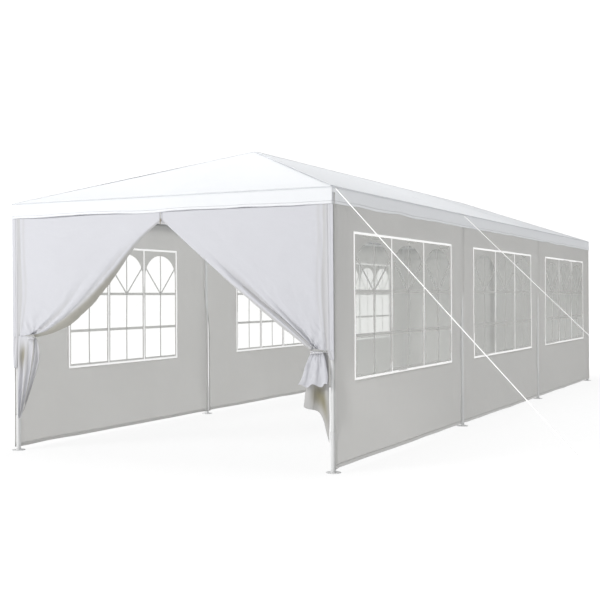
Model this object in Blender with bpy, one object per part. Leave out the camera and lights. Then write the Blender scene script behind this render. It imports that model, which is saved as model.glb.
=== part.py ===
"""A marquee tent, three bays long: steel pole frame, hipped cover, window walls and a tied-back door wall.

Units are metres, +Z is up and the ground is z = 0. X runs across the tent and Y along it, with the
door at -Y. The origin is on the ground under the middle of the tent.
"""

import math

import bmesh
import bpy
from mathutils import Matrix, Vector

# ---- driving dimensions ------------------------------------------------------------------------

BAY = 3.0                    # leg to leg along a side
BAYS = 3
SPAN = 2.85                  # leg to leg across the tent
EAVE_HEIGHT = 2.03           # top edge of the cover's valance
RIDGE_HEIGHT = 2.55          # top of the cover at the ridge
HIP_INSET = 1.5              # from an end wall to the near end of the ridge
VALANCE_DROP = 0.125

TUBE_RADIUS = 0.016          # rails, rafters, ridge and the upper half of a leg
LEG_LOWER_RADIUS = 0.019
LEG_SLIP_HEIGHT = 0.29       # where the upper leg tube slides into the lower one
SLEEVE_RADIUS = 0.019        # the sockets of a connector
KNUCKLE_RADIUS = 0.0195      # the ball that its sockets meet in
SLEEVE_LENGTH = 0.10
RAIL_HEIGHT = 2.005          # centre line of the eave rails
RIDGE_TUBE_HEIGHT = 2.52     # centre line of the ridge
PLATE_RADIUS = 0.055
PLATE_THICKNESS = 0.005

GAP = 0.0003                 # left between pieces that touch
FABRIC = 0.003               # cover and walls
FILM = 0.0015                # the clear sheet of the windows
FILM_OFFSET = 0.0196         # leg centre line to the inner face of the film
WALL_OFFSET = 0.0215         # leg centre line to the inner face of a wall
COVER_OFFSET = 0.028         # leg centre line to the outer face of the valance
WALL_BOTTOM = 0.03
WALL_TOP = 1.985
WALL_SIDE_GAP = 0.002

WINDOW_WIDTH = {"left": 1.74, "right": 2.28}
WINDOW_SHIFT = {"left": 0.06, "right": 0.0}
WINDOW_SILL = 0.64
WINDOW_HEAD = 1.72
FILM_LAP = 0.03              # the film reaches this far past each window

HEADER_BOTTOM = 1.835        # the door wall is one strip above this height and two halves below it
FLAP_THICKNESS = 0.015
FLAP_SIDE = 1.405            # the outer edge of each door half, beside its leg
EDGE_STEPS = 14

# Each door half is tied back. Its free edge is a Bezier curve (x, z) from the head of the
# opening down to its tie, and below the tie its tail flares and is pulled back to the leg.
LEFT_EDGE = [(-0.005, 1.835), (-0.42, 1.62), (-0.68, 0.98), (-1.235, 0.935)]
LEFT_TAIL = [(-1.175, 0.79), (-1.20, 0.68), (-1.375, 0.27)]
RIGHT_EDGE = [(0.005, 1.835), (0.45, 1.47), (0.90, 1.10), (1.275, 0.865)]
RIGHT_TAIL = [(1.19, 0.61), (1.205, 0.465), (1.295, 0.435), (1.375, 0.345), (1.40, 0.22)]
NECK_HEIGHT = 0.03           # the gathered neck below the end of each free edge
TIE_HEIGHT = 0.022
TIE_THICKNESS = 0.0012

ROPE_RADIUS = 0.0035
ROPE_TOP = 2.012
CORNER_ROPE_REACH = 1.86     # leg to stake, for the ropes of the corner legs
MIDDLE_ROPE_REACH = 2.06
STAKE_RADIUS = 0.0045
STAKE_HEIGHT = 0.09
STAKE_LEAN = 0.035           # how far the head of a stake leans away from the tent
ROPE_STAKE_HEIGHT = 0.045    # where the rope is looped on the stake

ROUND = 16                   # sides of a leg
TUBE_SIDES = 12
ROPE_SIDES = 8

HALF_SPAN = SPAN / 2
HALF_LENGTH = BAY * BAYS / 2
LEG_Y = [-HALF_LENGTH + BAY * i for i in range(BAYS + 1)]
RIDGE_END = HALF_LENGTH - HIP_INSET
SIDES = {"left": -1, "right": 1}
ROWS = ["front", "second", "third", "back"]


# ---- scene and materials -----------------------------------------------------------------------

def clear_scene():
    for old in list(bpy.data.objects):
        bpy.data.objects.remove(old, do_unlink=True)


def material(name, colour, roughness, metallic=0.0):
    mat = bpy.data.materials.new(name)
    mat.use_nodes = True
    shader = mat.node_tree.nodes["Principled BSDF"]
    shader.inputs["Base Color"].default_value = (*colour, 1)
    shader.inputs["Roughness"].default_value = roughness
    shader.inputs["Metallic"].default_value = metallic
    return mat


# ---- shape helpers -----------------------------------------------------------------------------

def add_object(name, bm, mat, smooth=False):
    mesh = bpy.data.meshes.new(name)
    bmesh.ops.recalc_face_normals(bm, faces=bm.faces)
    bm.to_mesh(mesh)
    bm.free()
    mesh.materials.append(mat)
    if smooth:
        mesh.shade_smooth()
        mesh.set_sharp_from_angle(angle=math.radians(40))
    piece = bpy.data.objects.new(name, mesh)
    bpy.context.scene.collection.objects.link(piece)
    return piece


def add_rod(bm, start, end, radius, sides):
    start, end = Vector(start), Vector(end)
    turn = (end - start).to_track_quat("Z", "Y").to_matrix().to_4x4()
    place = Matrix.Translation((start + end) / 2) @ turn
    bmesh.ops.create_cone(bm, cap_ends=True, segments=sides, radius1=radius, radius2=radius,
                          depth=(end - start).length, matrix=place)


def rod(name, start, end, radius, mat, sides=TUBE_SIDES):
    bm = bmesh.new()
    add_rod(bm, start, end, radius, sides)
    return add_object(name, bm, mat, smooth=True)


def tube_between(name, start, end, mat):
    """A frame tube from one connector to the next, standing clear of both sleeves."""
    start, end = Vector(start), Vector(end)
    along = (end - start).normalized() * (SLEEVE_LENGTH + GAP)
    return rod(name, start + along, end - along, TUBE_RADIUS, mat)


def box(name, low, high, mat):
    bm = bmesh.new()
    low, high = Vector(low), Vector(high)
    size = Matrix.Diagonal((*(high - low), 1))
    bmesh.ops.create_cube(bm, size=1, matrix=Matrix.Translation((low + high) / 2) @ size)
    return add_object(name, bm, mat)


def fuse(piece, others):
    """Join other rods to a piece as one body, and drop their objects."""
    for other in others:
        union = piece.modifiers.new("join_" + other.name, "BOOLEAN")
        union.operation = "UNION"
        union.solver = "EXACT"
        union.object = other
    bpy.context.view_layer.update()
    shape = bpy.data.meshes.new_from_object(piece.evaluated_get(bpy.context.evaluated_depsgraph_get()))
    piece.modifiers.clear()
    piece.data = shape
    for other in others:
        bpy.data.objects.remove(other, do_unlink=True)
    return piece


def cut_box(piece, low, high):
    """Cut a box-shaped hole that stays a live Boolean."""
    cutter = box("cutter_" + piece.name, low, high, piece.data.materials[0])
    cutter.hide_render = True
    cutter.display_type = "WIRE"
    cut = piece.modifiers.new("window", "BOOLEAN")
    cut.operation = "DIFFERENCE"
    cut.solver = "EXACT"
    cut.object = cutter


def bezier(points, steps):
    """Points of a cubic Bezier curve, both ends included."""
    a, b, c, d = (Vector(p) for p in points)
    curve = []
    for i in range(steps + 1):
        t = i / steps
        s = 1 - t
        curve.append(a * s**3 + b * 3 * s * s * t + c * 3 * s * t * t + d * t**3)
    return curve


# ---- frame -------------------------------------------------------------------------------------

def add_leg(name, x, y, mat):
    """Foot plate, lower tube and upper tube, turned as one profile and set under its connector."""
    top = RAIL_HEIGHT - SLEEVE_LENGTH - GAP
    profile = [(0, 0), (PLATE_RADIUS, 0), (PLATE_RADIUS, PLATE_THICKNESS),
               (LEG_LOWER_RADIUS, PLATE_THICKNESS), (LEG_LOWER_RADIUS, LEG_SLIP_HEIGHT),
               (TUBE_RADIUS, LEG_SLIP_HEIGHT), (TUBE_RADIUS, top), (0, top)]
    bm = bmesh.new()
    corners = [bm.verts.new((x + radius, y, height)) for radius, height in profile]
    for lower, upper in zip(corners, corners[1:]):
        bm.edges.new((lower, upper))
    bmesh.ops.spin(bm, geom=bm.verts[:] + bm.edges[:], cent=(x, y, 0), axis=(0, 0, 1),
                   angle=math.tau, steps=ROUND, use_merge=True)
    bmesh.ops.remove_doubles(bm, verts=bm.verts, dist=0.00001)
    return add_object(name, bm, mat, smooth=True)


def add_connector(name, centre, arms, mat):
    """A ball with one socket for each tube that meets there."""
    centre = Vector(centre)
    bm = bmesh.new()
    bmesh.ops.create_uvsphere(bm, u_segments=TUBE_SIDES, v_segments=8, radius=KNUCKLE_RADIUS,
                              matrix=Matrix.Translation(centre))
    knuckle = add_object(name, bm, mat, smooth=True)
    sockets = []
    for i, arm in enumerate(arms):
        tip = centre + Vector(arm).normalized() * SLEEVE_LENGTH
        sockets.append(rod(f"{name}_arm_{i}", centre, tip, SLEEVE_RADIUS, mat))
    return fuse(knuckle, sockets)


def ridge_point(y):
    return Vector((0, y, RIDGE_TUBE_HEIGHT))


def eave_point(side, y):
    return Vector((side * HALF_SPAN, y, RAIL_HEIGHT))


def add_eaves(mat, fitting):
    """Legs, connectors and rails round the edge, and the rafters that rise from it."""
    for word, side in SIDES.items():
        for i, (row, y) in enumerate(zip(ROWS, LEG_Y)):
            here = eave_point(side, y)
            add_leg(f"leg_{row}_{word}", here.x, y, mat)
            end_row = row in ("front", "back")
            top_end = ridge_point(math.copysign(RIDGE_END, y) if end_row else y)
            arms = [(0, 0, -1), top_end - here]
            arms += [(-side, 0, 0)] if end_row else []
            arms += [(0, 1, 0)] if i < BAYS else []
            arms += [(0, -1, 0)] if i > 0 else []
            add_connector(f"eave_connector_{row}_{word}", here, arms, fitting)
            tube_between(f"{'hip' if end_row else 'common'}_rafter_{row}_{word}", here, top_end, mat)
        for name, y in zip(("front", "middle", "back"), LEG_Y):
            tube_between(f"eave_rail_{word}_{name}", eave_point(side, y), eave_point(side, y + BAY), mat)
    for name, y in (("front", LEG_Y[0]), ("back", LEG_Y[-1])):
        tube_between(f"eave_rail_{name}", eave_point(-1, y), eave_point(1, y), mat)


def add_ridge(mat, fitting):
    """The ridge in three lengths. Each end length carries the sockets at both of its ends."""
    for name, way in (("front", -1), ("back", 1)):
        end, inner = ridge_point(way * RIDGE_END), ridge_point(way * BAY / 2)
        hips = [eave_point(side, way * HALF_LENGTH) - end for side in (-1, 1)]
        commons = [eave_point(side, way * BAY / 2) - inner for side in (-1, 1)]
        outer_knot = add_connector(f"ridge_knot_outer_{name}", end, hips + [inner - end], fitting)
        inner_knot = add_connector(f"ridge_knot_inner_{name}", inner,
                                   commons + [end - inner, inner - end], fitting)
        tube = rod(f"ridge_{name}", end, inner, TUBE_RADIUS, mat)
        fuse(tube, [outer_knot, inner_knot])
    tube_between("ridge_middle", ridge_point(-BAY / 2), ridge_point(BAY / 2), mat)


# ---- cover and walls ---------------------------------------------------------------------------

def add_cover(mat):
    """The hipped roof and its valance as one sheet, open below, thickened inwards."""
    x, y = HALF_SPAN + COVER_OFFSET, HALF_LENGTH + COVER_OFFSET
    bm = bmesh.new()
    ground = bmesh.ops.create_grid(bm, x_segments=1, y_segments=1, size=1)
    bmesh.ops.scale(bm, vec=(x, y, 1), verts=ground["verts"])
    bmesh.ops.translate(bm, vec=(0, 0, EAVE_HEIGHT - VALANCE_DROP), verts=ground["verts"])
    skirt = bmesh.ops.extrude_edge_only(bm, edges=bm.edges[:])
    eave = [v for v in skirt["geom"] if isinstance(v, bmesh.types.BMVert)]
    bmesh.ops.translate(bm, vec=(0, 0, VALANCE_DROP), verts=eave)
    lowest = [f for f in bm.faces if all(v.co.z < EAVE_HEIGHT - VALANCE_DROP / 2 for v in f.verts)]
    bmesh.ops.delete(bm, geom=lowest, context="FACES_ONLY")

    tips = {way: bm.verts.new((0, way * RIDGE_END, RIDGE_HEIGHT)) for way in (-1, 1)}
    corner = {(math.copysign(1, v.co.x), math.copysign(1, v.co.y)): v for v in eave}
    for way, tip in tips.items():
        bm.faces.new((corner[-1, way], corner[1, way], tip))
        bm.faces.new((corner[way, -1], corner[way, 1], tips[1], tips[-1]))
    cover = add_object("roof_cover", bm, mat)
    shell = cover.modifiers.new("fabric", "SOLIDIFY")
    shell.thickness = FABRIC
    shell.offset = -1
    shell.use_even_offset = True
    return cover


def add_side_walls(fabric, film):
    """Three window panels on each side, with the film that closes the windows behind them."""
    for word, side in SIDES.items():
        inner = side * (HALF_SPAN + WALL_OFFSET)
        outer = inner + side * FABRIC
        for name, y in zip(("front", "middle", "back"), LEG_Y):
            near = y + WALL_SIDE_GAP / 2 - (0.018 if name == "front" else 0)
            far = y + BAY - WALL_SIDE_GAP / 2 + (0.018 if name == "back" else 0)
            wall = box(f"side_wall_{word}_{name}", (min(inner, outer), near, WALL_BOTTOM),
                       (max(inner, outer), far, WALL_TOP), fabric)
            middle = y + BAY / 2 + WINDOW_SHIFT[word]
            half = WINDOW_WIDTH[word] / 2
            cut_box(wall, (min(inner, outer) - FABRIC, middle - half, WINDOW_SILL),
                    (max(inner, outer) + FABRIC, middle + half, WINDOW_HEAD))
        sheet = [side * (HALF_SPAN + FILM_OFFSET), side * (HALF_SPAN + FILM_OFFSET + FILM)]
        reach = BAY + WINDOW_WIDTH[word] / 2 + FILM_LAP
        shift = WINDOW_SHIFT[word]
        box(f"window_film_{word}", (min(sheet), shift - reach, WINDOW_SILL - FILM_LAP),
            (max(sheet), shift + reach, WINDOW_HEAD + FILM_LAP), film)


def end_wall_y(way):
    """The lower and upper y of the wall at the front (-1) or the back (1)."""
    faces = [way * (HALF_LENGTH + WALL_OFFSET), way * (HALF_LENGTH + WALL_OFFSET + FABRIC)]
    return min(faces), max(faces)


def add_flap(name, side, edge, tail, mat):
    """One half of the door wall: flat under the header, cut by its curved edge, with its tail."""
    curve = [(p.x, p.y) for p in bezier(edge, EDGE_STEPS)]
    outline = [(side * FLAP_SIDE, HEADER_BOTTOM - GAP), (curve[0][0], HEADER_BOTTOM - GAP)]
    tie_x, tie_z = edge[-1]
    outline += curve[1:] + [(tie_x, tie_z - NECK_HEIGHT)] + tail
    outline.append((side * FLAP_SIDE, tail[-1][1]))
    back = end_wall_y(-1)[1]
    bm = bmesh.new()
    face = bm.faces.new([bm.verts.new((x, back, z)) for x, z in outline])
    swept = bmesh.ops.extrude_face_region(bm, geom=[face])
    front = [v for v in swept["geom"] if isinstance(v, bmesh.types.BMVert)]
    bmesh.ops.translate(bm, vec=(0, -FLAP_THICKNESS, 0), verts=front)
    bmesh.ops.triangulate(bm, faces=bm.faces)
    return add_object(name, bm, mat)


def add_tie_back(name, side, tie, mat):
    """A flat band round the gathered neck of a door half."""
    tie_x, tie_z = tie
    back = end_wall_y(-1)[1]
    low_x, high_x = sorted((side * FLAP_SIDE, tie_x))
    lowest = tie_z - (NECK_HEIGHT + TIE_HEIGHT) / 2
    bm = bmesh.new()
    loops = []
    for grow in (GAP, GAP + TIE_THICKNESS):
        x0, x1 = low_x - grow, high_x + grow
        y0, y1 = back - FLAP_THICKNESS - grow, back + grow
        ring = [bm.verts.new((x, y, lowest)) for x, y in ((x0, y0), (x1, y0), (x1, y1), (x0, y1))]
        loops.append([bm.edges.new((ring[i], ring[(i + 1) % 4])) for i in range(4)])
    bmesh.ops.bridge_loops(bm, edges=loops[0] + loops[1])
    raised = bmesh.ops.extrude_face_region(bm, geom=bm.faces[:])
    upper = [v for v in raised["geom"] if isinstance(v, bmesh.types.BMVert)]
    bmesh.ops.translate(bm, vec=(0, 0, TIE_HEIGHT), verts=upper)
    return add_object(name, bm, mat)


def add_end_walls(fabric, webbing):
    low, high = end_wall_y(1)
    half = HALF_SPAN + COVER_OFFSET - FABRIC - 0.0015
    box("back_wall", (-half, low, WALL_BOTTOM), (half, high, WALL_TOP), fabric)
    low, high = end_wall_y(-1)
    box("door_header", (-half, low, HEADER_BOTTOM), (half, high, WALL_TOP), fabric)
    add_flap("door_half_left", -1, LEFT_EDGE, LEFT_TAIL, fabric)
    add_flap("door_half_right", 1, RIGHT_EDGE, RIGHT_TAIL, fabric)
    add_tie_back("tie_back_left", -1, LEFT_EDGE[-1], webbing)
    add_tie_back("tie_back_right", 1, RIGHT_EDGE[-1], webbing)


# ---- guy ropes ---------------------------------------------------------------------------------

def add_guy_rope(name, side, y, reach, mat):
    """A taut rope from the eave to the exposed head of its stake, fused with the stake."""
    start = Vector((side * (HALF_SPAN + COVER_OFFSET + ROPE_RADIUS + 0.001), y, ROPE_TOP))
    foot = Vector((side * (HALF_SPAN + reach), y, 0))
    lean = Vector((side * STAKE_LEAN, 0, STAKE_HEIGHT))
    head = foot + lean
    loop = foot + lean * (ROPE_STAKE_HEIGHT / STAKE_HEIGHT)
    rope = rod(name, start, loop, ROPE_RADIUS, mat, ROPE_SIDES)
    stake = rod(name + "_stake", foot - lean, head, STAKE_RADIUS, mat, ROPE_SIDES)
    fuse(rope, [stake])
    bm = bmesh.new()
    bm.from_mesh(rope.data)
    below = bmesh.ops.bisect_plane(bm, geom=bm.verts[:] + bm.edges[:] + bm.faces[:],
                                   plane_co=(0, 0, 0), plane_no=(0, 0, -1), clear_outer=True)
    rim = [e for e in below["geom_cut"] if isinstance(e, bmesh.types.BMEdge)]
    bmesh.ops.holes_fill(bm, edges=rim)
    bm.to_mesh(rope.data)
    bm.free()


def add_guy_ropes(mat):
    for word, side in SIDES.items():
        add_guy_rope(f"guy_rope_front_{word}", side, LEG_Y[0], CORNER_ROPE_REACH, mat)
        add_guy_rope(f"guy_rope_second_{word}", side, LEG_Y[1], MIDDLE_ROPE_REACH, mat)
        add_guy_rope(f"guy_rope_back_{word}", side, LEG_Y[-1], CORNER_ROPE_REACH, mat)


def build():
    clear_scene()
    steel = material("white_steel", (0.86, 0.86, 0.86), 0.35, 0.1)
    fitting = material("connector_steel", (0.80, 0.80, 0.80), 0.4, 0.1)
    sheet = material("white_fabric", (0.88, 0.89, 0.91), 0.55)
    walls = material("wall_fabric", (0.72, 0.72, 0.71), 0.6)
    clear = material("window_film", (0.90, 0.91, 0.90), 0.15)
    webbing = material("tie_webbing", (0.90, 0.90, 0.90), 0.8)
    cord = material("rope", (0.93, 0.93, 0.93), 0.8)
    add_eaves(steel, fitting)
    add_ridge(steel, fitting)
    add_cover(sheet)
    add_side_walls(walls, clear)
    add_end_walls(walls, webbing)
    add_guy_ropes(cord)


build()
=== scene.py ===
# %% [markdown]
# # A marquee tent, three bays long
# A party tent is a pole frame that stiffens itself only when its cover is pulled tight over it. The
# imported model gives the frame: every pole, wall and rope at its real place. This script leaves those
# places alone and makes what an eye sees: cloth with hems and folds, clear windows with fabric bars,
# a zipped door wall that is tied back, painted tube and twisted rope.
# Loading the frame first means that nothing below needs to be fitted by hand: each size is read from
# the node that it belongs to.

# %% Load the frame
import math

import bmesh
import bpy
from mathutils import Matrix, Vector, noise


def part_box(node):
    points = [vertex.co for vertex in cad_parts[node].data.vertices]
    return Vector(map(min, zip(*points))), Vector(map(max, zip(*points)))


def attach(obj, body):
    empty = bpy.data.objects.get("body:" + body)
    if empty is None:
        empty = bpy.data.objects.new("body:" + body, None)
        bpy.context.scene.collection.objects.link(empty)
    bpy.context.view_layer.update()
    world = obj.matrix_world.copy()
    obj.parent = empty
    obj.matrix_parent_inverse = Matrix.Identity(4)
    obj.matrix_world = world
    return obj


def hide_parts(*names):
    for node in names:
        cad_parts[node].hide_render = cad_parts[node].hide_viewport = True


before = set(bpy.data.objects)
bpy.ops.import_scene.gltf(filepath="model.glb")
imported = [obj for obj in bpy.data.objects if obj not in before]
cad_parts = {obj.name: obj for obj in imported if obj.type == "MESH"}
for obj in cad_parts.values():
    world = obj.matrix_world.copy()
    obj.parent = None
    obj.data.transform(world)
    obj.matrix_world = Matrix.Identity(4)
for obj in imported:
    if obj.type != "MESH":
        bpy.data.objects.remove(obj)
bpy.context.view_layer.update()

# %% [markdown]
# ## Sizes from the frame
# A tentmaker works from the leg centres and the eave height. Here they come from the middle of each
# leg's box, the rails' height and the cover's box, and the rest of the script uses only these names.
# The ridge stops short of the end legs, half a bay in, and the hips run out from there.

# %% Measure the frame
ROWS = ("front", "second", "third", "back")
BAYS = ("front", "middle", "back")
SIDES = {"left": -1, "right": 1}
ENDS = {"front": -1, "back": 1}


def middle_of(node):
    low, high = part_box(node)
    return (low + high) / 2


LEG_X = middle_of("leg_front_right").x
LEG_Y = [middle_of(f"leg_{row}_right").y for row in ROWS]
RAIL_Z = middle_of("eave_rail_front").z
RIDGE_Z = middle_of("ridge_middle").z
EAVE_ABOVE_RAIL = 0.025
EAVE_Z = RAIL_Z + EAVE_ABOVE_RAIL
BAY = LEG_Y[1] - LEG_Y[0]
RIDGE_END = LEG_Y[-1] - BAY / 2
cover_low, cover_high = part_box("roof_cover")
wall_low, wall_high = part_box("side_wall_right_front")
film_low, film_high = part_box("window_film_right")
header_low, header_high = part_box("door_header")
print("legs at", [round(y, 2) for y in LEG_Y], "and", round(LEG_X, 3), "either side")

# %% [markdown]
# ## Camera, light and floor
# The eye stands a little to the right of the door, as high as a person's chest, and looks along the
# tent. A long lens keeps the far end large. The light is a pale studio: a big soft source high on the
# left of the door, one right above, and a white surround. The floor glows by itself, as a lit studio
# sweep does, so that the shadow under the tent stays faint.

# %% Camera
EYE = (4.562, LEG_Y[0] - 6.918, 1.246)
HEADING, PITCH, ROLL = 26.122, -0.149, -0.373
LENS = 64.34


def turned(degrees, axis):
    return Matrix.Rotation(math.radians(degrees), 4, axis)


camera = bpy.data.objects.new("camera", bpy.data.cameras.new("camera"))
camera.data.lens = LENS
camera.data.clip_end = 200
level = turned(HEADING, "Z") @ turned(90 + PITCH, "X")
camera.matrix_world = Matrix.Translation(EYE) @ level @ turned(ROLL, "Z")
bpy.context.scene.collection.objects.link(camera)
bpy.context.scene.camera = camera
bpy.context.scene.view_settings.view_transform = "Standard"
print("camera at", [round(c, 2) for c in camera.location], "with a lens of", LENS, "mm")


# %% Lights and surround
def area_light(name, place, target, size, watts):
    lamp = bpy.data.lights.new(name, "AREA")
    lamp.energy, lamp.size = watts, size
    holder = bpy.data.objects.new(name, lamp)
    holder.location = place
    holder.rotation_euler = (Vector(target) - Vector(place)).to_track_quat("-Z", "Y").to_euler()
    bpy.context.scene.collection.objects.link(holder)


area_light("key", (-7.5, -15, 8), (0, -3, 1.2), 5, 1220)
area_light("top", (0, -1, 13), (0, 0, 0), 8, 900)


def make_surround(seen, shed):
    """A white surround that looks brighter than the light it sheds, as a lit backdrop does."""
    sky = bpy.data.worlds.new("surround")
    sky.use_nodes = True
    tree = sky.node_tree
    path = tree.nodes.new("ShaderNodeLightPath")
    bright = tree.nodes.new("ShaderNodeBackground")
    mixed = tree.nodes.new("ShaderNodeMixShader")
    soft = tree.nodes["Background"]
    for shader, strength in ((soft, shed), (bright, seen)):
        shader.inputs["Color"].default_value = (1, 1, 1, 1)
        shader.inputs["Strength"].default_value = strength
    tree.links.new(path.outputs["Is Camera Ray"], mixed.inputs[0])
    tree.links.new(soft.outputs[0], mixed.inputs[1])
    tree.links.new(bright.outputs[0], mixed.inputs[2])
    tree.links.new(mixed.outputs[0], tree.nodes["World Output"].inputs["Surface"])
    bpy.context.scene.world = sky


make_surround(1.15, 0.37)

# %% [markdown]
# ## Writing a material as arithmetic
# A material is a small program on sockets. `Wire` wraps one socket and lets Python's operators add
# the Math nodes, also with a number on the left, so `1 - mask` reads as it should. `Paint.node`
# makes every other node: first its settings, then the values or links of its sockets.


# %% Shader helpers
class Wire:
    """An output socket that arithmetic works on."""

    def __init__(self, paint, socket):
        self.paint, self.socket = paint, socket

    def maths(self, operation, *values):
        inputs = dict(enumerate(values))
        return self.paint.node("ShaderNodeMath", {"operation": operation}, inputs)

    def __add__(self, other):
        return self.maths("ADD", self, other)

    def __sub__(self, other):
        return self.maths("SUBTRACT", self, other)

    def __rsub__(self, other):
        return self.maths("SUBTRACT", other, self)

    def __mul__(self, other):
        return self.maths("MULTIPLY", self, other)

    def __lt__(self, other):
        return self.maths("LESS_THAN", self, other)

    def __gt__(self, other):
        return self.maths("GREATER_THAN", self, other)

    def __abs__(self):
        return self.maths("ABSOLUTE", self)

    def sine(self):
        return self.maths("SINE", self)

    __radd__, __rmul__ = __add__, __mul__


class Paint:
    """A material under construction."""

    def __init__(self, name):
        self.material = bpy.data.materials.new(name)
        self.material.use_nodes = True
        self.tree = self.material.node_tree
        self.tree.nodes.clear()

    def node(self, kind, settings=None, inputs=None, out=0):
        made = self.tree.nodes.new(kind)
        for key, value in (settings or {}).items():
            setattr(made, key, value)
        for key, value in (inputs or {}).items():
            if isinstance(value, Wire):
                self.tree.links.new(value.socket, made.inputs[key])
            else:
                made.inputs[key].default_value = value
        return Wire(self, made.outputs[out]) if made.outputs else None

    def cloth_map(self):
        """The piece's own map of its cloth in metres, with its two axes: across and along."""
        flat = self.node("ShaderNodeUVMap", {"uv_map": "cloth"})
        axes = [self.node("ShaderNodeSeparateXYZ", {}, {0: flat}, out=axis) for axis in (0, 1)]
        return flat, *axes

    def noise(self, where, scale, detail=2.0, roughness=0.5):
        return self.node("ShaderNodeTexNoise", {}, {
            "Vector": where, "Scale": scale, "Detail": detail, "Roughness": roughness})

    def mix(self, factor, low, high):
        low, high = (c if isinstance(c, Wire) else (*c, 1) for c in (low, high))
        inputs = {"Factor": factor, 6: low, 7: high}
        return self.node("ShaderNodeMix", {"data_type": "RGBA"}, inputs, out=2)

    def creases(self, where, scale):
        """Sharp crossing lines, as in cloth that was folded small."""
        return self.node("ShaderNodeTexNoise", {"noise_type": "RIDGED_MULTIFRACTAL"}, {
            "Vector": where, "Scale": scale, "Detail": 2.0, "Roughness": 0.4, "Offset": 0.9,
            "Gain": 1.6})

    def bump(self, height, distance, strength=1.0):
        return self.node("ShaderNodeBump", {}, {
            "Height": height, "Distance": distance, "Strength": strength})

    def blend(self, factor, first, second):
        return self.node("ShaderNodeMixShader", {}, {0: factor, 1: first, 2: second})

    def finish(self, shader):
        self.node("ShaderNodeOutputMaterial", {}, {"Surface": shader})
        return self.material


print("shader helpers ready")

# %% [markdown]
# ## Coated cloth
# The cover and walls are woven from flat tapes of white polyethylene, about 2 mm wide, and coated on
# both sides. Close up it shows a square weave, and from a few metres a soft sheen with shallow
# crinkles where it was folded for packing. It lets some light through, so the diffuse cloth is mixed
# with a translucent one. The weave is drawn on the piece's own UV map, in metres of cloth, so it
# follows every fold. Two crossing sine waves give the tapes, broad noise the slack, ridged noise the
# crinkles and fine noise a faint mottle.


# %% Cloth finish
TAPE = 0.0022


def cloth(name, colour, shade, see_through, crinkle=1.0, painted_shade_colour=None, shine=0.35, lit=1.0):
    """Coated woven cloth. shade is how much darker the mottle goes, see_through the share of light let
    by, painted_shade_colour a colour of painted shade, for hollows and undersides, that the piece's own
    painted_shade attribute mixes in, and lit how strongly light from behind shows."""
    paint = Paint(name)
    flat, across, along = paint.cloth_map()
    weave = (across * (math.tau / TAPE)).sine() * (along * (math.tau / TAPE)).sine()
    mottle = paint.noise(flat, 1.3, 4)
    broad = paint.noise(flat, 2.4, 3, 0.55)
    lines = paint.creases(flat, 3.2)
    height = broad * 0.010 * crinkle + lines * 0.0022 * crinkle + weave * 0.00012
    base = paint.mix(mottle, tuple(c * (1 - shade) for c in colour), colour)
    # Painted shade: a darker colour that the piece's own attribute mixes in where the cloth lies in
    # shadow.
    if painted_shade_colour:
        painted_shade = paint.node("ShaderNodeAttribute", {"attribute_name": "painted_shade"}, {}, out=2)
        base = paint.mix(painted_shade, base, painted_shade_colour)
    relief = paint.bump(height, 1.0, 0.7)
    gloss = paint.node("ShaderNodeBsdfPrincipled", {}, {
        "Base Color": base, "Roughness": 0.46 + mottle * 0.14, "Specular IOR Level": shine,
        "Normal": relief})
    glow = paint.node("ShaderNodeBsdfTranslucent", {}, {
        "Color": (*(c * lit for c in colour), 1), "Normal": relief})
    return paint.finish(paint.blend(see_through, gloss, glow))


COVER_CLOTH = cloth("cover_cloth", (0.915, 0.932, 0.955), 0.03, 0.10, 0.7, shine=0.15)
WALL_CLOTH = cloth("wall_cloth", (0.745, 0.742, 0.73), 0.15, 0.48, 1.2, lit=1.20)
# The door cloth's last colour is painted shade: an olive grey for the roll's underside and the hollows
# of its folds.
DOOR_CLOTH = cloth("door_cloth", (0.70, 0.705, 0.745), 0.06, 0.10, 1.5, (0.27, 0.245, 0.15))
print("cloths:", [m.name for m in bpy.data.materials if m.name.endswith("cloth")])

# %% [markdown]
# ## Sewn bands
# Hems, welded roof seams and the edge of a zip are all narrow double bands with a row of stitches
# along each side. Their cloth is the same, so the band's finish is that cloth a little darker, with
# dashes of thread. The dashes come from the band's UV map: across tells how near the thread line
# is, and a sine along the band breaks the line into stitches.

# %% Sewn band finish
BAND_W = 0.026
STITCH = 0.007
THREAD_W = 0.0016
THREAD_AT = (0.14, 0.86)


def sewn(name, colour, width=BAND_W, see_through=0.15):
    paint = Paint(name)
    flat, across, along = paint.cloth_map()
    dash = (along * (math.tau / STITCH)).sine() > -0.3
    rows = [abs(across - width * share) < THREAD_W / 2 for share in THREAD_AT]
    thread = (rows[0] + rows[1]) * dash
    pucker = paint.noise(flat, 26.0, 2)
    base = paint.mix(thread, colour, tuple(c * 0.72 for c in colour))
    gloss = paint.node("ShaderNodeBsdfPrincipled", {}, {
        "Base Color": base, "Roughness": 0.5 + pucker * 0.1, "Specular IOR Level": 0.25,
        "Normal": paint.bump(pucker * 0.0012 - thread * 0.0005, 1.0)})
    glow = paint.node("ShaderNodeBsdfTranslucent", {}, {"Color": (*colour, 1)})
    return paint.finish(paint.blend(see_through, gloss, glow))


COVER_BAND = sewn("cover_band", (0.86, 0.875, 0.90), see_through=0.05)
WALL_BAND = sewn("wall_band", (0.75, 0.745, 0.73))
# The eave band is painted grey as shade: the thin shadow line where the valance meets the roof.
EAVE_SHADE_BAND = sewn("eave_shade_band", (0.74, 0.76, 0.79), 0.008, 0.0)
print("bands:", [m.name for m in bpy.data.materials if m.name.endswith("band")])
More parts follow.
